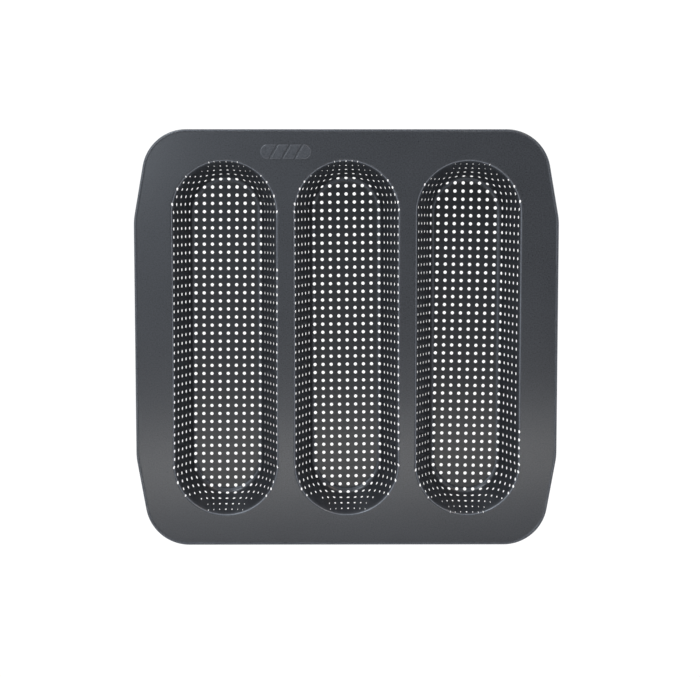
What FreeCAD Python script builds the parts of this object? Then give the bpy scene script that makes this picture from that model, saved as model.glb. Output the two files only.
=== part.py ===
import FreeCAD, Part
import math
import os

# Baguette tray for three loaves, pressed from one sheet of perforated, coated steel.
# X runs across the three troughs, Y along them, Z up. The origin is on the surface that
# the tray stands on, under its centre. Lengths are in millimetres, angles in degrees.

Vector = FreeCAD.Vector

# Sheet and overall shape
sheet = 0.5
trough_depth = 28.5          # from the floor's top to the deck's top
half_length = 153.4          # to the middle of the flared sides
half_width = 151.4           # to the straight front and back edges
corner_radius = 32.0
corner_centre_x = 115.1
flare_angle = 10.0           # of the side edges, from the corners out to the grips
flare_blend_radius = 45.0

# Troughs: half-round-ended, with the same section all round
trough_names = ("left", "middle", "right")
trough_pitch = 88.2
end_centre = 91.2            # from the tray's middle to each half-round end's centre
floor_half_width = 22.2
floor_fillet = 5.0           # on the top face
wall_angle = 67.0            # from the horizontal
lip_radius = 2.0             # on the top face

# Rolled rim and the wire in it
bead_radius = 1.25
bead_groove_radius = 1.0     # top face of the small groove just inside the bead
bead_groove_turn = 28.0
curl_overlap = 10.0          # how far past half round the curl's free edge goes
rim_wire_radius = 0.7

# Perforations, punched on a square grid before the sheet is pressed
hole_diameter = 2.5
hole_pitch = 6.0
last_column = 9
last_row = 23
row_reach = {17: 8, 18: 8, 19: 8, 20: 7, 21: 4, 22: 3, 23: 3}   # last column in the end rows
pattern_place = {            # where each trough meets the grid: across, along, slant of rows, of columns
    "left": (0.6, 2.0, 0.2, -0.6),
    "middle": (0.5, 2.9, 0.8, 0.4),
    "right": (2.1, -1.1, -0.9, -0.9),
}
joint_reach = 0.6 * hole_diameter    # a hole this near a forming line is cut in both pieces

# How the sheet flows as the half-round ends are drawn
draw_start = 28.0            # distance from the end's centre where the stretch begins
draw_rate = 0.235            # stretch for each millimetre beyond that
draw_near_side = 3.7
draw_fall = 2.8
draw_turn = 0.75             # degrees of turn towards the trough's axis, per millimetre
lip_margin = 1.6             # hole middles stay this far inside the deck's edge
past_lip = 3.0               # holes drawn past that by less than this stay there
hole_closing = 1.2           # how fast the holes close where the sheet crowds together round the ends
least_hole_ratio = 0.18      # of a closed slit's width to the punched hole's
narrowing_for_pull = 0.5     # how much the sheet narrows across a pull, for each unit along it

# Raised loaf mark on the deck
mark_centre = (-43.7, 135.2)
mark_length = 36.0
mark_width = 10.0
mark_rise = 0.5
mark_slashes = 3
mark_slash_width = 1.6
mark_slash_angle = 60.0

# Worked-out heights and lengths
floor_top = sheet
deck_top = floor_top + trough_depth
deck_bottom = deck_top - sheet
wall_turn = math.radians(wall_angle)
wall_rise = trough_depth - (floor_fillet + lip_radius) * (1 - math.cos(wall_turn))
wall_slope_length = wall_rise / math.sin(wall_turn)
arc_to_wall = floor_half_width + floor_fillet * wall_turn
arc_to_lip = arc_to_wall + wall_slope_length
arc_to_deck = arc_to_lip + lip_radius * wall_turn
radius_at_wall = floor_half_width + floor_fillet * math.sin(wall_turn)
radius_at_lip = radius_at_wall + wall_slope_length * math.cos(wall_turn)
mouth_radius = radius_at_lip + lip_radius * math.sin(wall_turn)
lip_stop = arc_to_deck - lip_margin
rim_width = bead_radius + (bead_radius + bead_groove_radius) * math.sin(math.radians(bead_groove_turn))
bead_centre_z = (deck_top - bead_radius
                 + (bead_radius + bead_groove_radius) * (1 - math.cos(math.radians(bead_groove_turn))))


def polar(centre, radius, degrees):
    """Point in a plane at an angle about a centre."""
    turn = math.radians(degrees)
    return (centre[0] + radius * math.cos(turn), centre[1] + radius * math.sin(turn))


def section_place(arc):
    """Plan radius, height above the floor's top and slope, at a length along the section."""
    if arc <= floor_half_width:
        return arc, 0.0, 0.0
    if arc <= arc_to_wall:
        slope = (arc - floor_half_width) / floor_fillet
        return (floor_half_width + floor_fillet * math.sin(slope),
                floor_fillet * (1 - math.cos(slope)), slope)
    if arc <= arc_to_lip:
        along = arc - arc_to_wall
        return (radius_at_wall + along * math.cos(wall_turn),
                floor_fillet * (1 - math.cos(wall_turn)) + along * math.sin(wall_turn), wall_turn)
    slope = max(0.0, (arc_to_deck - arc) / lip_radius)
    return (mouth_radius - lip_radius * math.sin(slope),
            trough_depth - lip_radius * (1 - math.cos(slope)), slope)


def wall_section():
    """Face of the sheet from the floor's edge to the deck, in the XZ plane, X outwards."""
    def corner(arc, depth):
        radius, height, slope = section_place(arc)
        return Vector(radius + depth * math.sin(slope), 0, floor_top + height - depth * math.cos(slope))

    arcs = (floor_half_width, arc_to_wall, arc_to_lip, arc_to_deck)
    edges = []
    for depth in (0.0, sheet):
        for start, end in zip(arcs, arcs[1:]):
            if start == arc_to_wall:
                edges.append(Part.LineSegment(corner(start, depth), corner(end, depth)).toShape())
            else:
                edges.append(Part.Arc(corner(start, depth), corner((start + end) / 2, depth),
                                      corner(end, depth)).toShape())
    for arc in (arcs[0], arcs[-1]):
        edges.append(Part.LineSegment(corner(arc, 0.0), corner(arc, sheet)).toShape())
    return Part.Face(Part.Wire(Part.__sortEdges__(edges)))


def stadium_wire(centre_x, radius, z):
    """Closed outline with half-round ends, at the troughs' end centres."""
    corners = [Vector(centre_x + side * radius, end * end_centre, z)
               for side, end in ((1, -1), (1, 1), (-1, 1), (-1, -1))]
    tops = [Vector(centre_x, end * (end_centre + radius), z) for end in (1, -1)]
    return Part.Wire([
        Part.LineSegment(corners[0], corners[1]).toShape(),
        Part.Arc(corners[1], tops[0], corners[2]).toShape(),
        Part.LineSegment(corners[2], corners[3]).toShape(),
        Part.Arc(corners[3], tops[1], corners[0]).toShape(),
    ])


def outline_arcs(inset):
    """The eight arcs of the tray's outline, anticlockwise from the right-hand side."""
    flare = math.radians(flare_angle)
    corner_y = half_width - corner_radius
    edge_distance = (math.cos(flare) * corner_centre_x + math.sin(flare) * corner_y + corner_radius)
    blend_x = half_length - flare_blend_radius
    blend_y = (edge_distance - flare_blend_radius - math.cos(flare) * blend_x) / math.sin(flare)
    corner = (corner_centre_x, corner_y, corner_radius - inset)
    blend = (blend_x, blend_y, flare_blend_radius - inset)
    quarters = (
        (1, 1, (blend, 0, flare_angle), (corner, flare_angle, 90)),
        (-1, 1, (corner, 90, 180 - flare_angle), (blend, 180 - flare_angle, 180)),
        (-1, -1, (blend, 180, 180 + flare_angle), (corner, 180 + flare_angle, 270)),
        (1, -1, (corner, 270, 360 - flare_angle), (blend, 360 - flare_angle, 360)),
    )
    return [((sign_x * shape[0], sign_y * shape[1]), shape[2], start, end)
            for sign_x, sign_y, *pair in quarters for shape, start, end in pair]


def outline_wire(inset, z):
    """Closed outline of the tray, moved in by a distance."""
    arcs = outline_arcs(inset)
    edges = []
    for (centre, radius, start, end), following in zip(arcs, arcs[1:] + arcs[:1]):
        places = [polar(centre, radius, angle) for angle in (start, (start + end) / 2, end)]
        edges.append(Part.Arc(*[Vector(x, y, z) for x, y in places]).toShape())
        next_start = polar(following[0], following[1], following[2])
        edges.append(Part.LineSegment(Vector(*places[2], z), Vector(*next_start, z)).toShape())
    return Part.Wire(edges)


def run_round_outline(section):
    """Solid that a section makes along the outline. The section's X is 0 at the outer edge."""
    arcs = outline_arcs(0.0)
    pieces = []
    for (centre, radius, start, end), following in zip(arcs, arcs[1:] + arcs[:1]):
        for angle in (start, end):
            placed = section.copy()
            placed.rotate(Vector(0, 0, 0), Vector(0, 0, 1), angle)
            placed.translate(Vector(*polar(centre, radius, angle), 0))
            if angle == start:
                pieces.append(placed.revolve(Vector(*centre, 0), Vector(0, 0, 1), end - start))
            else:
                here = polar(centre, radius, end)
                there = polar(following[0], following[1], following[2])
                pieces.append(placed.extrude(Vector(there[0] - here[0], there[1] - here[1], 0)))
    return pieces[0].fuse(pieces[1:]).removeSplitter()


def rim_section():
    """Sheet curled over at the tray's edge: a small groove, then the bead, open underneath."""
    bead = (-bead_radius, bead_centre_z)
    groove = polar(bead, bead_radius + bead_groove_radius, 90 + bead_groove_turn)
    meeting = 90 + bead_groove_turn
    free_edge = -180 - curl_overlap

    def arc(centre, radius, start, end):
        places = [polar(centre, radius, angle) for angle in (start, (start + end) / 2, end)]
        return Part.Arc(*[Vector(x, 0, z) for x, z in places]).toShape()

    def line(first, second):
        return Part.LineSegment(Vector(first[0], 0, first[1]), Vector(second[0], 0, second[1])).toShape()

    inner_bead = bead_radius - sheet
    outer_groove = bead_groove_radius + sheet
    edges = [
        arc(groove, bead_groove_radius, -90, bead_groove_turn - 90),
        arc(bead, bead_radius, meeting, free_edge),
        line(polar(bead, bead_radius, free_edge), polar(bead, inner_bead, free_edge)),
        arc(bead, inner_bead, free_edge, meeting),
        arc(groove, outer_groove, bead_groove_turn - 90, -90),
        line(polar(groove, outer_groove, -90), polar(groove, bead_groove_radius, -90)),
    ]
    return Part.Face(Part.Wire(edges))


def loaf_mark_faces(z):
    """Flat pieces of the loaf mark: a round-ended bar parted by slanted slashes."""
    reach = mark_length / 2 - mark_width / 2
    x, y = mark_centre
    half = mark_width / 2
    bar = Part.Face(Part.Wire([
        Part.LineSegment(Vector(x - reach, y - half, z), Vector(x + reach, y - half, z)).toShape(),
        Part.Arc(Vector(x + reach, y - half, z), Vector(x + reach + half, y, z),
                 Vector(x + reach, y + half, z)).toShape(),
        Part.LineSegment(Vector(x + reach, y + half, z), Vector(x - reach, y + half, z)).toShape(),
        Part.Arc(Vector(x - reach, y + half, z), Vector(x - reach - half, y, z),
                 Vector(x - reach, y - half, z)).toShape(),
    ]))
    for number in range(mark_slashes):
        middle = x + (number - (mark_slashes - 1) / 2) * mark_length / (mark_slashes + 1)
        slash = Part.makePlane(2 * mark_width, mark_slash_width,
                               Vector(-mark_width, -mark_slash_width / 2, 0))
        slash.rotate(Vector(0, 0, 0), Vector(0, 0, 1), mark_slash_angle)
        slash.translate(Vector(middle, y, z))
        bar = bar.cut(slash)
    return bar.Faces


def punched_holes(name):
    """Each hole of a trough: its middle, its axis, and where it lies on the drawn sheet."""
    shift_x, shift_y, row_slant, column_slant = pattern_place[name]
    row_slope = math.tan(math.radians(row_slant))
    column_slope = math.tan(math.radians(column_slant))
    holes = []
    for row in range(-last_row, last_row + 1):
        reach = row_reach.get(abs(row), last_column)
        for column in range(-reach, reach + 1):
            across = (column - row * column_slope) * hole_pitch + shift_x
            along = (row + column * row_slope) * hole_pitch + shift_y
            place = drawn_place(across, along)
            if place:
                holes.append(place)
    return holes


def drawn_ratio(up, around):
    """Width of a drawn hole as a share of the punched one, from the sheet's strain up and round the wall.

    A hole's edge is pressed together three times as hard as the sheet is round the wall, and once
    more by the pull up it, so the hole closes to a slit. Here it stays round, with the slit's area.
    """
    plane_share = 1 - narrowing_for_pull ** 2
    pull_up = (up + narrowing_for_pull * around) / plane_share
    pull_around = (around + narrowing_for_pull * up) / plane_share
    crowding = max(0.0, pull_up - 3 * pull_around)
    return math.sqrt(max(least_hole_ratio, 1 - hole_closing * crowding ** 2))


def drawn_place(across, along):
    """Where a hole of the flat sheet goes in the pressed trough; nothing if it left the trough."""
    beyond = abs(along) - end_centre
    end = math.copysign(1, along)
    ratio = 1.0
    if beyond <= 0:
        arc, angle = abs(across), math.pi / 2
    else:
        flat_arc, flat_angle = math.hypot(across, beyond), math.atan2(abs(across), beyond)
        excess = max(0.0, flat_arc - draw_start)
        lean = math.cos(flat_angle)
        sideways = math.sin(flat_angle)
        turn_rate = math.radians(draw_turn) * excess
        stretch = draw_rate * lean * (draw_near_side - draw_fall * lean)
        arc = flat_arc + stretch * excess
        angle = flat_angle - turn_rate * sideways ** 2 * lean
        if lip_stop < arc < lip_stop + past_lip:
            arc = lip_stop
        if arc > floor_half_width:
            narrowing = 1 - turn_rate * sideways * (2 * lean ** 2 - sideways ** 2)
            ratio = drawn_ratio(stretch if excess > 0 else 0.0,
                                section_place(arc)[0] / flat_arc * narrowing - 1)
    if arc > lip_stop:
        return None
    radius, height, slope = section_place(arc)
    side = math.copysign(1, across)
    outward = Vector(side * math.sin(angle), end * math.cos(angle) if beyond > 0 else 0.0, 0)
    base = Vector(0, end * end_centre if beyond > 0 else along, floor_top + height)
    axis = Vector(0, 0, math.cos(slope)) - outward * math.sin(slope)
    return {"middle": base + outward * radius - axis * (sheet / 2), "axis": axis,
            "radius": ratio * hole_diameter / 2, "arc": arc, "along": (base + outward * radius).y}


def perforate(solid, holes, centre_x, wanted):
    """Punch the wanted holes through a solid, and drop any loose sliver at its edge."""
    reach = 2 * sheet
    tools = []
    for hole in holes:
        if wanted(hole):
            start = hole["middle"] + Vector(centre_x, 0, 0) - hole["axis"] * reach
            tools.append(Part.makeCylinder(hole["radius"], 2 * reach, start, hole["axis"]))
    return max(solid.cut(Part.makeCompound(tools)).Solids, key=lambda piece: piece.Volume)


def trough_nodes(name, centre_x):
    """Floor, two side walls and two end walls of one trough."""
    holes = punched_holes(name)
    on_wall = floor_half_width - joint_reach
    section = wall_section()

    floor = Part.Face(stadium_wire(centre_x, floor_half_width, 0)).extrude(Vector(0, 0, sheet))
    floor = perforate(floor, holes, centre_x, lambda hole: hole["arc"] < floor_half_width + joint_reach)

    sides = []
    ends = []
    for side in (-1, 1):
        wall = section.copy()
        wall.rotate(Vector(0, 0, 0), Vector(0, 0, 1), 0 if side > 0 else 180)
        wall.translate(Vector(centre_x, -end_centre, 0))
        wall = wall.extrude(Vector(0, 2 * end_centre, 0))
        sides.append(perforate(wall, holes, centre_x, lambda hole: (
            hole["arc"] > on_wall and abs(hole["along"]) < end_centre + joint_reach
            and (hole["middle"].x > 0) == (side > 0))))

        end = section.copy()
        end.rotate(Vector(0, 0, 0), Vector(0, 0, 1), 0 if side > 0 else 180)
        end.translate(Vector(centre_x, side * end_centre, 0))
        end = end.revolve(Vector(centre_x, side * end_centre, 0), Vector(0, 0, 1), 180)
        ends.append(perforate(end, holes, centre_x, lambda hole: (
            hole["arc"] > on_wall and side * hole["along"] > end_centre - joint_reach)))

    print(name, "trough:", len(holes), "holes")
    return {
        "trough_%s_floor" % name: floor,
        "trough_%s_side_walls" % name: Part.makeCompound(sides),
        "trough_%s_end_walls" % name: Part.makeCompound(ends),
    }


def deck_plate(centres):
    """Flat deck with three mouths, and the loaf mark pushed up from below."""
    outer = outline_wire(rim_width, deck_bottom)
    mouths = [stadium_wire(x, mouth_radius, deck_bottom) for x in centres]
    plate = Part.Face(outer).cut([Part.Face(mouth) for mouth in mouths]).Faces[0]
    plate = plate.extrude(Vector(0, 0, sheet))
    raised = [face.extrude(Vector(0, 0, mark_rise)) for face in loaf_mark_faces(deck_top)]
    hollows = [face.makeOffset2D(-sheet).extrude(Vector(0, 0, mark_rise))
               for face in loaf_mark_faces(deck_bottom)]
    return plate.fuse(raised).cut(hollows)


def rim_wire():
    """Closed ring of wire inside the bead."""
    circle = Part.makeCircle(rim_wire_radius, Vector(-bead_radius, 0, bead_centre_z), Vector(0, 1, 0))
    return run_round_outline(Part.Face(Part.Wire(circle)))


def main():
    os.makedirs("parts", exist_ok=True)
    centres = [(number - 1) * trough_pitch for number in range(len(trough_names))]
    nodes = {"deck_plate": deck_plate(centres), "rolled_rim": run_round_outline(rim_section()),
             "rim_wire": rim_wire()}
    for name, centre_x in zip(trough_names, centres):
        nodes.update(trough_nodes(name, centre_x))
    for node, shape in nodes.items():
        print(node, "solids", len(shape.Solids), "valid", shape.isValid(), "volume %.0f" % shape.Volume)
        shape.exportStep("parts/%s.step" % node)


main()
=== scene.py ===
import math
import bmesh
import bpy
import numpy as np
from mathutils import Matrix, Vector, kdtree
from mathutils.geometry import delaunay_2d_cdt


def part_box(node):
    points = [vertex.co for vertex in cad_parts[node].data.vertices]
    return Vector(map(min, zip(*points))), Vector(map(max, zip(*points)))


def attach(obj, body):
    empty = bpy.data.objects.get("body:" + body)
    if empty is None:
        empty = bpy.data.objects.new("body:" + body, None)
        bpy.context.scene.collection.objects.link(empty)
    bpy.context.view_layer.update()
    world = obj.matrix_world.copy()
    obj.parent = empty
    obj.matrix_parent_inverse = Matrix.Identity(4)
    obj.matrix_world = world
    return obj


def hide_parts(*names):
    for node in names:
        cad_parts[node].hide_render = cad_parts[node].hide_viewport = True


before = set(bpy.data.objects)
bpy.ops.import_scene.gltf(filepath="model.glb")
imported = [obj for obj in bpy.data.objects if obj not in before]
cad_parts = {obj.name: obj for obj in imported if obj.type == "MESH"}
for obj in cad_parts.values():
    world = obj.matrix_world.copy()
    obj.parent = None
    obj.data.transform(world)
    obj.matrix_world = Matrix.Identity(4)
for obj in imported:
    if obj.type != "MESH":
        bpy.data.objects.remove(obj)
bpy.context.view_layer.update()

# Baguette tray: one pressed sheet of coated steel with three perforated troughs and a rolled rim.
# X runs across the troughs, Y along them. The sheet is punched flat, drawn, pressed and thickened.

mm = 0.001
samePoint = 0.001 * mm          # points nearer than this are one
print("frame loaded,", len(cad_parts), "nodes")


def addNode(tree, kind, inputs=None, **settings):
    node = tree.nodes.new(kind)
    for name, value in settings.items():
        setattr(node, name, value)
    for name, value in (inputs or {}).items():
        socket = node.inputs[name]
        if isinstance(value, bpy.types.NodeSocket):
            tree.links.new(value, socket)
        else:
            socket.default_value = value
    return node


def calc(tree, operation, *values):
    node = addNode(tree, "ShaderNodeMath", dict(enumerate(values)), operation=operation)
    return node.outputs[0]


def vectorCalc(tree, operation, *values, scale=None):
    inputs = dict(enumerate(values))
    if scale is not None:
        inputs["Scale"] = scale
    node = addNode(tree, "ShaderNodeVectorMath", inputs, operation=operation)
    return node.outputs["Value" if operation == "LENGTH" else "Vector"]


def newTree(name, inputs, outputs, kind="GeometryNodeTree"):
    tree = bpy.data.node_groups.new(name, kind)
    for direction, sockets in (("INPUT", inputs), ("OUTPUT", outputs)):
        for socketName, socketKind in sockets.items():
            tree.interface.new_socket(socketName, in_out=direction, socket_type="NodeSocket" + socketKind)
    return tree, tree.nodes.new("NodeGroupInput").outputs, tree.nodes.new("NodeGroupOutput").inputs


def runTree(piece, tree, values):
    modifier = piece.modifiers.new(tree.name, "NODES")
    modifier.node_group = tree
    for item in tree.interface.items_tree:
        if item.in_out == "INPUT" and item.name in values:
            modifier[item.identifier] = values[item.name]
    plain = bpy.data.meshes.new_from_object(piece.evaluated_get(bpy.context.evaluated_depsgraph_get()))
    piece.modifiers.remove(modifier)
    return plain


def newPiece(name, mesh):
    piece = bpy.data.objects.new(name, mesh)
    bpy.context.scene.collection.objects.link(piece)
    return piece


def meshFrom(name, points, edges=(), faces=()):
    mesh = bpy.data.meshes.new(name)
    mesh.from_pydata([tuple(point) for point in points], edges, faces)
    return mesh


floorLow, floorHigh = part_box("trough_middle_floor")
deckLow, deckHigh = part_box("deck_plate")
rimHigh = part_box("rolled_rim")[1]

sheet = {
    "thickness": floorHigh.z - floorLow.z,
    "floorTop": floorHigh.z,
    "deckTop": deckLow.z + floorHigh.z - floorLow.z,
    "crispAngle": 40.0,         # edges sharper than this shade as edges
}

section = {                     # the trough's wall, the same all round
    "floorHalfWidth": (floorHigh.x - floorLow.x) / 2,
    "filletRadius": 5.0 * mm,
    "wallAngle": math.radians(67.0),
    "lipRadius": 2.0 * mm,
}
section["endCentre"] = (floorHigh.y - floorLow.y) / 2 - section["floorHalfWidth"]
section["wallLength"] = (
    sheet["deckTop"] - sheet["floorTop"]
    - (section["filletRadius"] + section["lipRadius"]) * (1 - math.cos(section["wallAngle"]))
) / math.sin(section["wallAngle"])
section["arcToWall"] = section["floorHalfWidth"] + section["filletRadius"] * section["wallAngle"]
section["arcToLip"] = section["arcToWall"] + section["wallLength"]
section["arcToDeck"] = section["arcToLip"] + section["lipRadius"] * section["wallAngle"]
section["mouthRadius"] = (
    section["floorHalfWidth"] + section["wallLength"] * math.cos(section["wallAngle"])
    + (section["filletRadius"] + section["lipRadius"]) * math.sin(section["wallAngle"])
)
flangeWidth = 2.07 * mm         # flat metal round each mouth that belongs to the trough's own piece
endSegments = 72                # round each half-round end


punching = {
    "pitch": 6.0 * mm,
    "holeDiameter": 2.5 * mm,
    "holePoints": 16,
    "lastColumn": 9,
    "lastRow": 23,
    "rowReach": {17: 8, 18: 8, 19: 8, 20: 7, 21: 4, 22: 3, 23: 3},   # last column in the end rows
    "place": {                  # where each trough meets the grid: across, along, slant of rows, of columns
        "left": (0.6 * mm, 2.0 * mm, math.radians(0.2), math.radians(-0.6)),
        "middle": (0.5 * mm, 2.9 * mm, math.radians(0.8), math.radians(0.4)),
        "right": (2.1 * mm, -1.1 * mm, math.radians(-0.9), math.radians(-0.9)),
    },
}


def makePunchTree():
    tree, given, result = newTree("punchedPattern", {
        "Geometry": "Geometry", "Pitch": "Float", "Hole Diameter": "Float", "Hole Points": "Int",
        "Shift": "Vector", "Row Slant": "Float", "Column Slant": "Float", "Material": "Material",
    }, {"Geometry": "Geometry"})
    cell = addNode(tree, "ShaderNodeSeparateXYZ", {0: addNode(tree, "GeometryNodeInputPosition").outputs[0]})
    lean = calc(tree, "MULTIPLY", cell.outputs["Y"], calc(tree, "TANGENT", given["Column Slant"]))
    climb = calc(tree, "MULTIPLY", cell.outputs["X"], calc(tree, "TANGENT", given["Row Slant"]))
    slanted = addNode(tree, "ShaderNodeCombineXYZ", {
        "X": calc(tree, "SUBTRACT", cell.outputs["X"], lean),
        "Y": calc(tree, "ADD", cell.outputs["Y"], climb)})
    spaced = vectorCalc(tree, "SCALE", slanted.outputs[0], scale=given["Pitch"])
    placed = addNode(tree, "GeometryNodeSetPosition", {
        "Geometry": given["Geometry"], "Position": vectorCalc(tree, "ADD", spaced, given["Shift"])})
    hole = addNode(tree, "GeometryNodeMeshCircle", {
        "Vertices": given["Hole Points"], "Radius": calc(tree, "MULTIPLY", given["Hole Diameter"], 0.5),
    }, fill_type="NGON")
    holes = addNode(tree, "GeometryNodeInstanceOnPoints", {
        "Points": placed.outputs[0], "Instance": hole.outputs[0]})
    real = addNode(tree, "GeometryNodeRealizeInstances", {"Geometry": holes.outputs[0]})
    coated = addNode(tree, "GeometryNodeSetMaterial", {
        "Geometry": real.outputs[0], "Material": given["Material"]})
    tree.links.new(coated.outputs[0], result["Geometry"])
    return tree


def punchedOutlines(tree, side, material):
    grid = [(column, row, 0) for row in range(-punching["lastRow"], punching["lastRow"] + 1)
            for reach in [punching["rowReach"].get(abs(row), punching["lastColumn"])]
            for column in range(-reach, reach + 1)]
    across, along, rowSlant, columnSlant = punching["place"][side]
    piece = newPiece("pattern", meshFrom("pattern", grid))
    flat = runTree(piece, tree, {
        "Pitch": punching["pitch"], "Hole Diameter": punching["holeDiameter"],
        "Hole Points": punching["holePoints"], "Shift": (across, along, 0.0), "Row Slant": rowSlant,
        "Column Slant": columnSlant, "Material": material})
    bpy.data.objects.remove(piece)
    corners = np.empty(len(flat.vertices) * 3)
    flat.vertices.foreach_get("co", corners)
    order = np.empty(len(flat.loops), int)
    flat.loops.foreach_get("vertex_index", order)
    return corners.reshape(-1, 3)[order, :2].reshape(len(grid), punching["holePoints"], 2)


drawing = {
    "start": 28.0 * mm,         # distance from the end's centre where the stretch begins
    "rate": 0.235,
    "nearSide": 3.7,
    "fall": 2.8,
    "turn": math.radians(0.75) / mm,
    "lipMargin": 1.6 * mm,      # hole middles stay this far inside the deck's edge
    "pastLip": 3.0 * mm,        # holes drawn past that by less than this are held there
    "holeClosing": 1.2,         # how fast the holes close where the sheet crowds together round the ends
    "leastHoleRatio": 0.18,     # of a closed slit's width to the punched hole's
    "narrowing": 0.5,           # of the sheet across a pull, for each unit along it
    "edgeCrowding": 3,          # how many times harder a hole's edge is crowded than the sheet
}


def flatPolar(flat):
    # arc length from the trough's middle, and angle round the end (a right angle on the straight part)
    beyond = np.maximum(np.abs(flat[..., 1]) - section["endCentre"], 0)
    angle = np.where(beyond > 0, np.arctan2(np.abs(flat[..., 0]), beyond), math.pi / 2)
    return np.hypot(flat[..., 0], beyond), angle, np.where(beyond > 0, np.cos(angle), 0)


def drawnPlace(flat):
    arc, angle, lean = flatPolar(flat)
    excess = np.maximum(arc - drawing["start"], 0)
    stretched = arc + drawing["rate"] * excess * lean * (drawing["nearSide"] - drawing["fall"] * lean)
    return stretched, angle - drawing["turn"] * excess * np.sin(angle) ** 2 * lean


def planRadius(arc):
    # distance in plan for a length along the section
    wall = section["wallAngle"]
    fillet = np.clip((arc - section["floorHalfWidth"]) / section["filletRadius"], 0, wall)
    climb = np.clip(arc - section["arcToWall"], 0, section["wallLength"])
    toDeck = wall - np.clip((arc - section["arcToLip"]) / section["lipRadius"], 0, wall)
    floor = np.minimum(arc, section["floorHalfWidth"])
    lip = section["lipRadius"] * (math.sin(wall) - np.sin(toDeck))
    return floor + section["filletRadius"] * np.sin(fillet) + climb * math.cos(wall) + lip


def holeScales(middles, drawnArc):
    # share of the drawn width that each hole keeps, up the wall and round the end, where it closes to a slit
    arc, angle, lean = flatPolar(middles)
    excess = np.maximum(arc - drawing["start"], 0)
    turning = drawing["turn"] * excess * np.sin(angle) * (2 * lean ** 2 - np.sin(angle) ** 2)
    up = np.where(excess > 0, drawing["rate"] * lean * (drawing["nearSide"] - drawing["fall"] * lean), 0)
    around = planRadius(drawnArc) / np.maximum(arc, mm) * (1 - turning) - 1
    pullUp = up + drawing["narrowing"] * around
    pullAround = around + drawing["narrowing"] * up
    crowding = np.maximum(pullUp - drawing["edgeCrowding"] * pullAround, 0) / (1 - drawing["narrowing"] ** 2)
    slit = np.maximum(drawing["leastHoleRatio"], 1 - drawing["holeClosing"] * crowding ** 2)
    onEndWall = (np.abs(middles[:, 1]) > section["endCentre"]) & (drawnArc > section["floorHalfWidth"])
    return np.where(onEndWall, 1 / (1 + up), 1), np.where(onEndWall, slit / (1 + around), 1)


def unrolled(flat, arc, angle):
    # the drawn sheet laid flat again, with its true length along the section
    beyond = np.abs(flat[..., 1]) > section["endCentre"]
    across = np.copysign(np.where(beyond, arc * np.sin(angle), arc), flat[..., 0])
    along = np.where(beyond, section["endCentre"] + arc * np.cos(angle), np.abs(flat[..., 1]))
    return np.stack([across, np.copysign(along, flat[..., 1])], -1)


def drawOutlines(outlines):
    middles = outlines.mean(1)
    middleArc, middleAngle = drawnPlace(middles)
    stop = section["arcToDeck"] - drawing["lipMargin"]
    inEnd = np.abs(middles[:, 1]) > section["endCentre"]
    kept = middleArc <= stop + np.where(inEnd, drawing["pastLip"], 0)
    held = np.minimum(stop - middleArc, 0)
    arc, angle = drawnPlace(outlines)
    drawn = unrolled(outlines, arc + held[:, None], angle)
    drawnMiddles = unrolled(middles, middleArc + held, middleAngle)
    upScale, roundScale = holeScales(middles, middleArc + held)
    endCentres = np.clip(drawnMiddles[:, 1], -section["endCentre"], section["endCentre"])
    out = drawnMiddles - np.stack([np.zeros(len(endCentres)), endCentres], -1)
    out /= np.maximum(np.hypot(*out.T), samePoint)[:, None]
    spread = drawn - drawnMiddles[:, None]
    upPart = (spread * out[:, None]).sum(-1, keepdims=True) * out[:, None]
    spread = upPart * upScale[:, None, None] + (spread - upPart) * roundScale[:, None, None]
    return (drawnMiddles[:, None] + spread)[kept], drawnMiddles[kept]


meshing = {
    "support": 0.45 * mm,       # flat strip kept beside each bend
    "filletSteps": 8,
    "lipSteps": 6,
    "wallSteps": 16,
    "alongStep": 1.5 * mm,
    "clearance": 0.3 * mm,      # between a guide point and a hole's edge
    "tolerance": 1e-7,
}


def stadiumLoop(reach, centreX=0.0):
    # closed outline with half-round ends, anticlockwise
    loop = []
    for end, start in ((1, 0.0), (-1, math.pi)):
        for number in range(endSegments + 1):
            turn = start + math.pi * number / endSegments
            along = end * section["endCentre"] + reach * math.sin(turn)
            loop.append((centreX + reach * math.cos(turn), along))
    return loop


def guidePoints():
    def spread(first, last, steps):
        return list(np.linspace(first, last, steps + 1))

    support = meshing["support"]
    bends = [section["floorHalfWidth"] - support]
    bends += spread(section["floorHalfWidth"], section["arcToWall"], meshing["filletSteps"])
    bends += [section["arcToWall"] + support, section["arcToLip"] - support]
    bends += spread(section["arcToLip"], section["arcToDeck"], meshing["lipSteps"])
    bends.append(section["arcToDeck"] + support)
    walls = spread(section["arcToWall"], section["arcToLip"], meshing["wallSteps"])[1:-1]
    count = round(2 * section["endCentre"] / meshing["alongStep"])
    alongs = spread(-section["endCentre"], section["endCentre"], count)[1:-1]
    points = [(side * arc, along) for arc in bends for side in (-1, 1) for along in alongs]
    for arc in bends + walls:
        points += stadiumLoop(arc)
    return np.array(points)


def clearOfHoles(points, outlines, middles):
    middleTree = kdtree.KDTree(len(middles))
    for number, (x, y) in enumerate(middles):
        middleTree.insert((x, y, 0), number)
    middleTree.balance()
    edgeTree = kdtree.KDTree(outlines.shape[0] * outlines.shape[1])
    for number, (x, y) in enumerate(outlines.reshape(-1, 2)):
        edgeTree.insert((x, y, 0), number)
    edgeTree.balance()
    kept = []
    for x, y in points:
        if edgeTree.find((x, y, 0))[2] < meshing["clearance"]:
            continue
        outline = outlines[middleTree.find((x, y, 0))[1]]
        sides = np.roll(outline, -1, 0) - outline
        reach = (x, y) - outline
        turns = sides[:, 0] * reach[:, 1] - sides[:, 1] * reach[:, 0]
        if turns.min() < 0 < turns.max():
            kept.append((x, y))
    return kept


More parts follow.
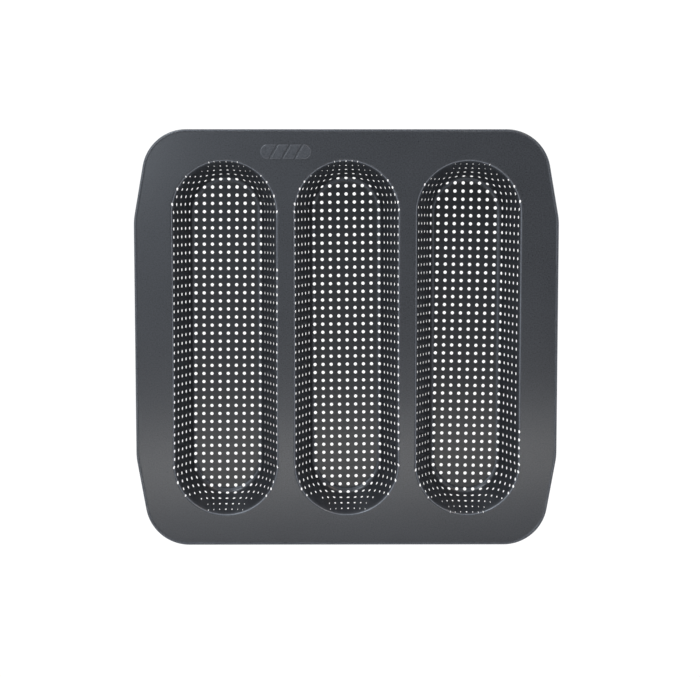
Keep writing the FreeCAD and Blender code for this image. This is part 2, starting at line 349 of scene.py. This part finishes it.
def sheetTriangles(loops, inner, extra):
    # loops bound the metal, inner loops are holes in it, extra points only shape the triangles
    points = []
    edges = []
    loopOf = []
    for number, loop in enumerate([*loops, *inner]):
        first = len(points)
        points += [Vector(point) for point in loop]
        edges += [(first + i, first + (i + 1) % len(loop)) for i in range(len(loop))]
        loopOf += [number] * len(loop)
    points += [Vector(point) for point in extra]
    loopOf += [-1] * len(extra)
    found = delaunay_2d_cdt(points, edges, [], 1, meshing["tolerance"], True)
    owner = [loopOf[ids[0]] if ids else -1 for ids in found[3]]
    triangles = []
    for face in found[2]:
        owners = {owner[corner] for corner in face}
        if len(owners) > 1 or min(owners) < len(loops):
            triangles.append(face)
    return [(point.x, point.y, 0) for point in found[0]], triangles


def makeThickenGroup():
    tree, given, result = newTree("thickenSheet", {
        "Geometry": "Geometry", "Thickness": "Float"}, {"Geometry": "Geometry"})
    normal = addNode(tree, "GeometryNodeInputNormal").outputs[0]
    kept = addNode(tree, "GeometryNodeCaptureAttribute", {"Geometry": given["Geometry"]}, domain="POINT")
    kept.capture_items.new("VECTOR", "Up")
    tree.links.new(normal, kept.inputs["Up"])
    raised = addNode(tree, "GeometryNodeExtrudeMesh", {
        "Mesh": kept.outputs["Geometry"], "Offset Scale": 0.0, "Individual": False}, mode="FACES")
    depth = calc(tree, "MULTIPLY", given["Thickness"], -1.0)
    down = vectorCalc(tree, "SCALE", kept.outputs["Up"], scale=depth)
    lowered = addNode(tree, "GeometryNodeSetPosition", {
        "Geometry": raised.outputs["Mesh"], "Selection": raised.outputs["Top"], "Offset": down})
    flipped = addNode(tree, "GeometryNodeFlipFaces", {"Mesh": lowered.outputs[0]})
    joined = addNode(tree, "GeometryNodeJoinGeometry")
    tree.links.new(flipped.outputs[0], joined.inputs[0])
    tree.links.new(given["Geometry"], joined.inputs[0])
    merged = addNode(tree, "GeometryNodeMergeByDistance", {
        "Geometry": joined.outputs[0], "Distance": samePoint})
    tree.links.new(merged.outputs[0], result["Geometry"])
    return tree


def makePressTree(thicken):
    tree, given, result = newTree("pressedTrough", {
        "Geometry": "Geometry", "Centre": "Vector", "End Centre": "Float", "Floor Half Width": "Float",
        "Fillet Radius": "Float", "Wall Angle": "Float", "Wall Length": "Float", "Lip Radius": "Float",
        "Thickness": "Float", "Material": "Material",
    }, {"Geometry": "Geometry"})
    wall = given["Wall Angle"]
    place = addNode(tree, "GeometryNodeInputPosition").outputs[0]
    along = addNode(tree, "ShaderNodeSeparateXYZ", {0: place}).outputs["Y"]
    backEnd = calc(tree, "MULTIPLY", given["End Centre"], -1.0)
    spine = calc(tree, "MINIMUM", calc(tree, "MAXIMUM", along, backEnd), given["End Centre"])
    foot = addNode(tree, "ShaderNodeCombineXYZ", {"Y": spine}).outputs[0]
    out = vectorCalc(tree, "SUBTRACT", place, foot)
    arc = vectorCalc(tree, "LENGTH", out)

    def within(value, most):
        return calc(tree, "MINIMUM", calc(tree, "MAXIMUM", value, 0.0), most)

    pastFloor = calc(tree, "SUBTRACT", arc, given["Floor Half Width"])
    filletTurn = within(calc(tree, "DIVIDE", pastFloor, given["Fillet Radius"]), wall)
    pastFillet = calc(tree, "SUBTRACT", pastFloor, calc(tree, "MULTIPLY", given["Fillet Radius"], wall))
    climb = within(pastFillet, given["Wall Length"])
    pastWall = calc(tree, "SUBTRACT", pastFillet, given["Wall Length"])
    lipTurn = within(calc(tree, "DIVIDE", pastWall, given["Lip Radius"]), wall)
    pastLip = calc(tree, "SUBTRACT", pastWall, calc(tree, "MULTIPLY", given["Lip Radius"], wall))
    leftOver = calc(tree, "SUBTRACT", wall, lipTurn)

    radius = calc(tree, "ADD", calc(tree, "MINIMUM", arc, given["Floor Half Width"]),
                  calc(tree, "MAXIMUM", pastLip, 0.0))
    radius = calc(tree, "MULTIPLY_ADD", given["Fillet Radius"], calc(tree, "SINE", filletTurn), radius)
    radius = calc(tree, "MULTIPLY_ADD", climb, calc(tree, "COSINE", wall), radius)
    lipReach = calc(tree, "SUBTRACT", calc(tree, "SINE", wall), calc(tree, "SINE", leftOver))
    radius = calc(tree, "MULTIPLY_ADD", given["Lip Radius"], lipReach, radius)
    filletRise = calc(tree, "SUBTRACT", 1.0, calc(tree, "COSINE", filletTurn))
    height = calc(tree, "MULTIPLY", given["Fillet Radius"], filletRise)
    height = calc(tree, "MULTIPLY_ADD", climb, calc(tree, "SINE", wall), height)
    lipRise = calc(tree, "SUBTRACT", calc(tree, "COSINE", leftOver), calc(tree, "COSINE", wall))
    height = calc(tree, "MULTIPLY_ADD", given["Lip Radius"], lipRise, height)

    outward = vectorCalc(tree, "SCALE", vectorCalc(tree, "NORMALIZE", out), scale=radius)
    lifted = addNode(tree, "ShaderNodeCombineXYZ", {"Y": spine, "Z": height}).outputs[0]
    pressed = vectorCalc(tree, "ADD", vectorCalc(tree, "ADD", outward, lifted), given["Centre"])
    shaped = addNode(tree, "GeometryNodeSetPosition", {"Geometry": given["Geometry"], "Position": pressed})
    thick = addNode(tree, "GeometryNodeGroup", node_tree=thicken)
    tree.links.new(shaped.outputs[0], thick.inputs["Geometry"])
    tree.links.new(given["Thickness"], thick.inputs["Thickness"])
    real = addNode(tree, "GeometryNodeRealizeInstances", {"Geometry": thick.outputs[0]})
    coated = addNode(tree, "GeometryNodeSetMaterial", {
        "Geometry": real.outputs[0], "Material": given["Material"]})
    tree.links.new(coated.outputs[0], result["Geometry"])
    return tree


def finishMesh(mesh, material):
    mesh.materials.clear()
    mesh.materials.append(material)
    mesh.shade_smooth()
    mesh.set_sharp_from_angle(angle=math.radians(sheet["crispAngle"]))
    mesh.validate()


def makeTrough(side, trees, material):
    low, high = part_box("trough_%s_floor" % side)
    outlines, middles = drawOutlines(punchedOutlines(trees["punch"], side, material))
    guides = clearOfHoles(guidePoints(), outlines, middles)
    points, triangles = sheetTriangles([stadiumLoop(section["arcToDeck"] + flangeWidth)], outlines, guides)
    piece = newPiece(side + "Trough", meshFrom(side + "Flat", points, faces=triangles))
    pressed = runTree(piece, trees["press"], {
        "Centre": ((low.x + high.x) / 2, (low.y + high.y) / 2, sheet["floorTop"]),
        "End Centre": section["endCentre"], "Floor Half Width": section["floorHalfWidth"],
        "Fillet Radius": section["filletRadius"], "Wall Angle": section["wallAngle"],
        "Wall Length": section["wallLength"], "Lip Radius": section["lipRadius"],
        "Thickness": sheet["thickness"], "Material": material})
    finishMesh(pressed, material)
    piece.data = pressed
    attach(piece, "root")
    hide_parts(*["trough_%s_%s" % (side, part) for part in ("floor", "side_walls", "end_walls")])
    print(side, "trough pressed,", len(outlines), "holes,", len(pressed.polygons), "faces")


outline = {
    "cornerRadius": 32.0 * mm,
    "cornerCentreX": 115.1 * mm,
    "flareAngle": math.radians(10.0),
    "blendRadius": 45.0 * mm,
    "arcStep": math.radians(2.5),
}


def outlineLoop(inset):
    # one quarter: from the middle of the side, round the grip's blend and the corner, to the front edge
    flare = outline["flareAngle"]
    cornerY = rimHigh.y - outline["cornerRadius"]
    edge = math.cos(flare) * outline["cornerCentreX"] + math.sin(flare) * cornerY + outline["cornerRadius"]
    blendX = rimHigh.x - outline["blendRadius"]
    blendY = (edge - outline["blendRadius"] - math.cos(flare) * blendX) / math.sin(flare)
    quarter = []
    for centreX, centreY, radius, start, end in (
            (blendX, blendY, outline["blendRadius"] - inset, 0.0, flare),
            (outline["cornerCentreX"], cornerY, outline["cornerRadius"] - inset, flare, math.pi / 2)):
        steps = math.ceil((end - start) / outline["arcStep"])
        for turn in np.linspace(start, end, steps + 1):
            quarter.append((centreX + radius * math.cos(turn), centreY + radius * math.sin(turn)))
    mirrored = [(-x, y) for x, y in reversed(quarter)]
    half = quarter + mirrored
    return half + [(-x, -y) for x, y in half]


rim = {
    "beadRadius": 1.25 * mm,
    "grooveRadius": 1.0 * mm,
    "meetingTurn": math.radians(28.0),      # where the groove runs into the bead
    "curlOverlap": math.radians(10.0),
    "beadSteps": 20,
    "grooveSteps": 5,
}
rimWidth = rim["beadRadius"] + (rim["beadRadius"] + rim["grooveRadius"]) * math.sin(rim["meetingTurn"])


def rimSection():
    # closed outline of the curled sheet, X outwards from the tray's edge, Z up
    beadX = -rim["beadRadius"]
    reach = rim["beadRadius"] + rim["grooveRadius"]
    beadZ = sheet["deckTop"] - rim["beadRadius"] + reach * (1 - math.cos(rim["meetingTurn"]))
    meeting = math.pi / 2 + rim["meetingTurn"]
    grooveX = beadX + reach * math.cos(meeting)
    grooveZ = beadZ + reach * math.sin(meeting)
    freeEdge = -math.pi - rim["curlOverlap"]

    def arc(centreX, centreZ, radius, start, end, steps):
        return [(centreX + radius * math.cos(turn), centreZ + radius * math.sin(turn))
                for turn in np.linspace(start, end, steps + 1)]

    top = arc(grooveX, grooveZ, rim["grooveRadius"], -math.pi / 2, rim["meetingTurn"] - math.pi / 2,
              rim["grooveSteps"])[:-1]
    top += arc(beadX, beadZ, rim["beadRadius"], meeting, freeEdge, rim["beadSteps"])
    under = arc(grooveX, grooveZ, rim["grooveRadius"] + sheet["thickness"], -math.pi / 2,
                rim["meetingTurn"] - math.pi / 2, rim["grooveSteps"])[:-1]
    under += arc(beadX, beadZ, rim["beadRadius"] - sheet["thickness"], meeting, freeEdge, rim["beadSteps"])
    return top + under[::-1]


def makeSweepTree():
    tree, given, result = newTree("rimSweep", {
        "Geometry": "Geometry", "Section": "Object", "Material": "Material"}, {"Geometry": "Geometry"})
    path = addNode(tree, "GeometryNodeMeshToCurve", {"Mesh": given["Geometry"]})
    upright = addNode(tree, "GeometryNodeSetCurveNormal", {"Curve": path.outputs[0]}, mode="Z_UP")
    section2d = addNode(tree, "GeometryNodeObjectInfo", {"Object": given["Section"]})
    profile = addNode(tree, "GeometryNodeMeshToCurve", {"Mesh": section2d.outputs["Geometry"]})
    swept = addNode(tree, "GeometryNodeCurveToMesh", {
        "Curve": upright.outputs[0], "Profile Curve": profile.outputs[0]})
    real = addNode(tree, "GeometryNodeRealizeInstances", {"Geometry": swept.outputs[0]})
    coated = addNode(tree, "GeometryNodeSetMaterial", {
        "Geometry": real.outputs[0], "Material": given["Material"]})
    tree.links.new(coated.outputs[0], result["Geometry"])
    return tree


def closedLine(name, points):
    return newPiece(name, meshFrom(name, points, [(i, (i + 1) % len(points)) for i in range(len(points))]))


def makeRim(material):
    # the section's X follows the path's outward normal and its Y points down
    profile = closedLine("rimProfile", [(x, sheet["deckTop"] - z, 0) for x, z in rimSection()])
    piece = closedLine("rolledRim", [(x, y, sheet["deckTop"]) for x, y in outlineLoop(0.0)])
    swept = runTree(piece, makeSweepTree(), {"Section": profile, "Material": material})
    bpy.data.objects.remove(profile)
    shape = bmesh.new()
    shape.from_mesh(swept)
    bmesh.ops.remove_doubles(shape, verts=shape.verts, dist=samePoint)
    bmesh.ops.recalc_face_normals(shape, faces=shape.faces)
    shape.to_mesh(swept)
    shape.free()
    finishMesh(swept, material)
    piece.data = swept
    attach(piece, "root")
    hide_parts("rolled_rim")
    print("rim rolled,", len(swept.polygons), "faces")


loafMark = {                    # generic raised loaf with three slashes
    "centre": (-43.7 * mm, 135.2 * mm),
    "length": 36.0 * mm,
    "width": 10.0 * mm,
    "rise": deckHigh.z - sheet["deckTop"],
    "softness": 0.5 * mm,       # width of the rounded edge
    "slashes": 3,
    "slashWidth": 1.6 * mm,
    "slashAngle": math.radians(60.0),
    "meshStep": 0.16 * mm,
    "meshMargin": 1.0 * mm,
}


def depthInMark(x, y):
    # distance inside the mark's outline, negative outside it
    half = loafMark["width"] / 2
    reach = loafMark["length"] / 2 - half
    x = x - loafMark["centre"][0]
    y = y - loafMark["centre"][1]
    depth = half - np.hypot(x - np.clip(x, -reach, reach), y)
    for number in range(loafMark["slashes"]):
        middle = (number - (loafMark["slashes"] - 1) / 2) * loafMark["length"] / (loafMark["slashes"] + 1)
        away = np.abs((x - middle) * math.sin(loafMark["slashAngle"]) - y * math.cos(loafMark["slashAngle"]))
        depth = np.minimum(depth, away - loafMark["slashWidth"] / 2)
    return depth


def markHeight(x, y):
    share = np.clip(depthInMark(x, y) / loafMark["softness"] + 0.5, 0, 1)
    return loafMark["rise"] * share * share * (3 - 2 * share)


def makeDeckTree(thicken):
    tree, given, result = newTree("deckSheet", {
        "Geometry": "Geometry", "Thickness": "Float", "Material": "Material"}, {"Geometry": "Geometry"})
    thick = addNode(tree, "GeometryNodeGroup", node_tree=thicken)
    tree.links.new(given["Geometry"], thick.inputs["Geometry"])
    tree.links.new(given["Thickness"], thick.inputs["Thickness"])
    real = addNode(tree, "GeometryNodeRealizeInstances", {"Geometry": thick.outputs[0]})
    coated = addNode(tree, "GeometryNodeSetMaterial", {
        "Geometry": real.outputs[0], "Material": given["Material"]})
    tree.links.new(coated.outputs[0], result["Geometry"])
    return tree


def makeDeck(thicken, centres, material):
    mouths = [stadiumLoop(section["mouthRadius"] + flangeWidth, x) for x in centres]
    step = loafMark["meshStep"]
    halfLength = loafMark["length"] / 2 + loafMark["meshMargin"]
    halfWidth = loafMark["width"] / 2 + loafMark["meshMargin"]
    across, along = np.meshgrid(np.arange(-halfLength, halfLength, step) + loafMark["centre"][0],
                                np.arange(-halfWidth, halfWidth, step) + loafMark["centre"][1])
    nearEdge = np.abs(depthInMark(across, along)) < loafMark["softness"] / 2 + 2 * step
    extra = list(zip(across[nearEdge], along[nearEdge]))
    points, triangles = sheetTriangles([outlineLoop(rimWidth)], mouths, extra)
    points = [(x, y, sheet["deckTop"] + float(markHeight(x, y))) for x, y, z in points]
    piece = newPiece("deckPlate", meshFrom("deckFlat", points, faces=triangles))
    solid = runTree(piece, makeDeckTree(thicken), {"Thickness": sheet["thickness"], "Material": material})
    finishMesh(solid, material)
    piece.data = solid
    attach(piece, "root")
    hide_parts("deck_plate")
    print("deck made,", len(solid.polygons), "faces")


grain = {"speckleDetail": 3.0, "speckleRoughness": 0.7, "cloudDetail": 2.0, "cloudRoughness": 0.5}


def makeGrainGroup():
    # fine speckle and slow clouding of a sprayed, baked coating
    tree, given, result = newTree("coatingGrain", {
        "Vector": "Vector", "Speckle Scale": "Float", "Cloud Scale": "Float",
        "Speckle": "Float", "Cloud": "Float",
    }, {"Shade": "Float", "Height": "Float"}, "ShaderNodeTree")
    speckle = addNode(tree, "ShaderNodeTexNoise", {
        "Vector": given["Vector"], "Scale": given["Speckle Scale"],
        "Detail": grain["speckleDetail"], "Roughness": grain["speckleRoughness"]})
    cloud = addNode(tree, "ShaderNodeTexNoise", {
        "Vector": given["Vector"], "Scale": given["Cloud Scale"],
        "Detail": grain["cloudDetail"], "Roughness": grain["cloudRoughness"]})
    shade = 1.0
    for noise, strength in ((speckle, given["Speckle"]), (cloud, given["Cloud"])):
        centred = calc(tree, "SUBTRACT", noise.outputs[0], 0.5)     # noise runs about one half
        shade = calc(tree, "MULTIPLY_ADD", centred, strength, shade)
    tree.links.new(shade, result["Shade"])
    tree.links.new(speckle.outputs[0], result["Height"])
    return tree


coating = {                     # lighter and glossier on the deck than down in the troughs, whose darker colour is painted shade of the recess
    "deckColour": (0.036, 0.038, 0.0425),
    "shadedTroughColour": (0.0215, 0.0228, 0.026),
    "deckGloss": 0.5,
    "troughGloss": 0.32,
    "glossRoughness": 0.17,
    "roughness": 0.45,
    "metallic": 0.3,
    "fade": (-4.0 * mm, -1.0 * mm),     # heights from the deck's top where the troughs' painted shade passes into the deck's look
    "wearAndHighlights": {                 # folds painted lighter: wear and painted highlight on the proud bead and mark, painted highlight on the lip and floor fillet; height from the deck's top, reach, strength
        "bead": (0.25 * mm, 0.2 * mm, 0.8),
        "mark": (0.5 * mm, 0.15 * mm, 0.5),
        # painted highlights along the mouth's lip and the floor's fillet
        "lip": (-0.3 * mm, 0.27 * mm, 2.0),
        "floorEdge": (sheet["floorTop"] - sheet["deckTop"] + 0.3 * mm, 0.3 * mm, 2.2),
    },
    "speckle": 2.0,
    "speckleSize": 1.0 * mm,
    "cloud": 0.25,
    "cloudSize": 40.0 * mm,
    "bump": 0.15,
    "bumpDepth": 0.05 * mm,
}


def makeCoating():
    material = bpy.data.materials.new("sheetCoating")
    material.use_nodes = True
    tree = material.node_tree
    shader = tree.nodes["Principled BSDF"]
    shader.inputs["Metallic"].default_value = coating["metallic"]
    shader.inputs["Coat Roughness"].default_value = coating["glossRoughness"]
    place = addNode(tree, "ShaderNodeTexCoord").outputs["Object"]
    grained = addNode(tree, "ShaderNodeGroup", node_tree=makeGrainGroup())
    tree.links.new(place, grained.inputs["Vector"])
    grained.inputs["Speckle Scale"].default_value = 1 / coating["speckleSize"]
    grained.inputs["Cloud Scale"].default_value = 1 / coating["cloudSize"]
    grained.inputs["Speckle"].default_value = coating["speckle"]
    grained.inputs["Cloud"].default_value = coating["cloud"]
    height = addNode(tree, "ShaderNodeSeparateXYZ", {0: place}).outputs["Z"]
    low, high = coating["fade"]
    onDeck = addNode(tree, "ShaderNodeMapRange", {
        "Value": height, "From Min": sheet["deckTop"] + low, "From Max": sheet["deckTop"] + high,
    }, interpolation_type="SMOOTHSTEP").outputs[0]
    # below the deck the colour darkens into the troughs' painted shade
    change = vectorCalc(tree, "SUBTRACT", coating["deckColour"], coating["shadedTroughColour"])
    colour = vectorCalc(tree, "SCALE", change, scale=onDeck)
    colour = vectorCalc(tree, "ADD", colour, coating["shadedTroughColour"])
    brightness = 1.0
    for level, reach, strength in coating["wearAndHighlights"].values():       # brighter about each level: wear and painted highlight on bead and mark, painted highlight on lip and floor fillet
        away = calc(tree, "ABSOLUTE", calc(tree, "SUBTRACT", height, sheet["deckTop"] + level))
        lighterBand = addNode(tree, "ShaderNodeMapRange", {
            "Value": away, "From Min": 0.0, "From Max": reach, "To Min": strength, "To Max": 0.0,
        }, interpolation_type="SMOOTHSTEP").outputs[0]
        brightness = calc(tree, "ADD", lighterBand, brightness)
    brightness = calc(tree, "MULTIPLY", brightness, grained.outputs["Shade"])
    tree.links.new(vectorCalc(tree, "SCALE", colour, scale=brightness), shader.inputs["Base Color"])
    rough = calc(tree, "MULTIPLY", grained.outputs["Shade"], coating["roughness"])
    tree.links.new(rough, shader.inputs["Roughness"])
    gloss = calc(tree, "MULTIPLY_ADD", onDeck, coating["deckGloss"] - coating["troughGloss"],
                 coating["troughGloss"])
    tree.links.new(gloss, shader.inputs["Coat Weight"])
    bump = addNode(tree, "ShaderNodeBump", {
        "Height": grained.outputs["Height"], "Strength": coating["bump"], "Distance": coating["bumpDepth"]})
    tree.links.new(bump.outputs[0], shader.inputs["Normal"])
    return material


wireLook = {
    "colour": (0.42, 0.41, 0.40),
    "roughness": 0.34,
    "lineSize": 1.1 * mm,
    "lineDetail": 4.0,
    "lineRoughness": 0.6,
    "darkest": 0.8,
    "range": 0.4,
    "bump": 0.2,
    "bumpDepth": 0.03 * mm,
}


def makeWireSteel():
    # drawn steel: fine unevenness over the wire's surface
    material = bpy.data.materials.new("drawnSteel")
    material.use_nodes = True
    tree = material.node_tree
    shader = tree.nodes["Principled BSDF"]
    shader.inputs["Metallic"].default_value = 1.0
    place = addNode(tree, "ShaderNodeTexCoord").outputs["Object"]
    lines = addNode(tree, "ShaderNodeTexNoise", {
        "Vector": place, "Scale": 1 / wireLook["lineSize"], "Detail": wireLook["lineDetail"],
        "Roughness": wireLook["lineRoughness"]})
    shade = calc(tree, "MULTIPLY_ADD", lines.outputs[0], wireLook["range"], wireLook["darkest"])
    tree.links.new(vectorCalc(tree, "SCALE", wireLook["colour"], scale=shade), shader.inputs["Base Color"])
    tree.links.new(calc(tree, "MULTIPLY", shade, wireLook["roughness"]), shader.inputs["Roughness"])
    bump = addNode(tree, "ShaderNodeBump", {
        "Height": lines.outputs[0], "Strength": wireLook["bump"], "Distance": wireLook["bumpDepth"]})
    tree.links.new(bump.outputs[0], shader.inputs["Normal"])
    return material


sheetCoating = makeCoating()
print("materials made")


thickenSheet = makeThickenGroup()
trees = {"punch": makePunchTree(), "press": makePressTree(thickenSheet)}
sides = ("left", "middle", "right")
centres = []
for side in sides:
    makeTrough(side, trees, sheetCoating)
    low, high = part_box("trough_%s_floor" % side)
    centres.append((low.x + high.x) / 2)
makeDeck(thickenSheet, centres, sheetCoating)
makeRim(sheetCoating)

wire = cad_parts["rim_wire"]
wire.data.materials.clear()
wire.data.materials.append(makeWireSteel())


studio = {
    "tableSize": 12.0,
    "tableShade": (0.8, 0.8, 0.8),
    "glow": 1.05,               # of the table and the backdrop, as the camera sees them
    "tentTop": (0.06, 0.063, 0.07),             # soft light from straight above
    "tentSide": (1.6, 1.68, 1.82),              # and from low down all round
    "tentHeights": (0.45, 0.80),                # where one fades into the other
    "lamps": {                  # name: (place, aim, width, depth, watts, colour)
        "strip": ((-0.06, -0.355, 1.63), (-0.07, -0.095, 0.03), 1.1, 0.10, 2.4, (1.0, 0.985, 0.96)),
        "coolFill": ((-0.70, 0.40, 1.55), (-0.15, 0.40, 0.03), 0.6, 0.8, 7.0, (0.84, 0.92, 1.0)),
        "backLeft": ((-0.7, 1.35, 0.9), (0.0, -0.1, 0.03), 0.5, 0.9, 11.0, (0.84, 0.92, 1.0)),
        "backRight": ((0.7, 1.2, 0.7), (0.0, -0.1, 0.03), 0.25, 0.4, 2.4, (1.0, 0.72, 0.46)),
    },
}


def makeFloor():
    # white to the camera, and a plain pale table to the light that bounces off it
    half = studio["tableSize"] / 2
    corners = [(-half, -half, 0), (half, -half, 0), (half, half, 0), (-half, half, 0)]
    floor = newPiece("lightTable", meshFrom("lightTable", corners, faces=[(0, 1, 2, 3)]))
    material = bpy.data.materials.new("paleTable")
    material.use_nodes = True
    tree = material.node_tree
    shader = tree.nodes["Principled BSDF"]
    shader.inputs["Base Color"].default_value = (*studio["tableShade"], 1)
    shader.inputs["Specular IOR Level"].default_value = 0.0
    seen = addNode(tree, "ShaderNodeEmission", {"Color": (1, 1, 1, 1), "Strength": studio["glow"]})
    path = addNode(tree, "ShaderNodeLightPath")
    mixed = addNode(tree, "ShaderNodeMixShader", {
        0: path.outputs["Is Camera Ray"], 1: shader.outputs[0], 2: seen.outputs[0]})
    tree.links.new(mixed.outputs[0], tree.nodes["Material Output"].inputs["Surface"])
    floor.data.materials.append(material)


def makeWorld():
    # a light tent, dim overhead and bright low down
    world = bpy.data.worlds.new("studio")
    world.use_nodes = True
    tree = world.node_tree
    tent = tree.nodes["Background"]
    direction = addNode(tree, "ShaderNodeSeparateXYZ", {
        0: addNode(tree, "ShaderNodeTexCoord").outputs["Generated"]})
    low, high = studio["tentHeights"]
    fade = addNode(tree, "ShaderNodeMapRange", {
        "Value": direction.outputs["Z"], "From Min": low, "From Max": high}, interpolation_type="SMOOTHSTEP")
    change = vectorCalc(tree, "SUBTRACT", studio["tentTop"], studio["tentSide"])
    shade = vectorCalc(tree, "SCALE", change, scale=fade.outputs[0])
    shade = vectorCalc(tree, "ADD", shade, studio["tentSide"])
    tree.links.new(shade, tent.inputs["Color"])
    seen = addNode(tree, "ShaderNodeBackground", {"Color": (1, 1, 1, 1), "Strength": studio["glow"]})
    path = addNode(tree, "ShaderNodeLightPath")
    mixed = addNode(tree, "ShaderNodeMixShader", {
        0: path.outputs["Is Camera Ray"], 1: tent.outputs[0], 2: seen.outputs[0]})
    tree.links.new(mixed.outputs[0], tree.nodes["World Output"].inputs["Surface"])
    bpy.context.scene.world = world


def makeLamps():
    for name, (place, aim, width, depth, watts, colour) in studio["lamps"].items():
        data = bpy.data.lights.new(name, "AREA")
        data.shape = "RECTANGLE"
        data.size = width
        data.size_y = depth
        data.energy = watts
        data.color = colour
        lamp = newPiece(name, data)
        lamp.location = place
        lamp.rotation_euler = (Vector(aim) - Vector(place)).to_track_quat("-Z", "Y").to_euler()


view = {                        # place and aim are from the deck's middle
    "place": (-4.7 * mm, 110.9 * mm, 1221.8 * mm),
    "aim": (2.5 * mm, 0.55 * mm, 0.0),
    "lens": 86.97,
    "sensorWidth": 36.0,
    "nearest": 0.05,
    "farthest": 50.0,
}


def makeCamera():
    data = bpy.data.cameras.new("camera")
    data.lens = view["lens"]
    data.sensor_width = view["sensorWidth"]
    data.clip_start = view["nearest"]
    data.clip_end = view["farthest"]
    camera = newPiece("camera", data)
    deckMiddle = Vector((0, 0, sheet["deckTop"]))
    camera.location = deckMiddle + Vector(view["place"])
    forward = (Vector(view["aim"]) - Vector(view["place"])).normalized()
    right = forward.cross(Vector((0, 1, 0))).normalized()
    up = right.cross(forward)
    camera.rotation_mode = "QUATERNION"
    camera.rotation_quaternion = Matrix((right, up, -forward)).transposed().to_quaternion()
    bpy.context.scene.camera = camera


makeFloor()
makeWorld()
makeLamps()
makeCamera()
bpy.context.scene.view_settings.view_transform = "Standard"
print("studio set")

bpy.context.view_layer.update()
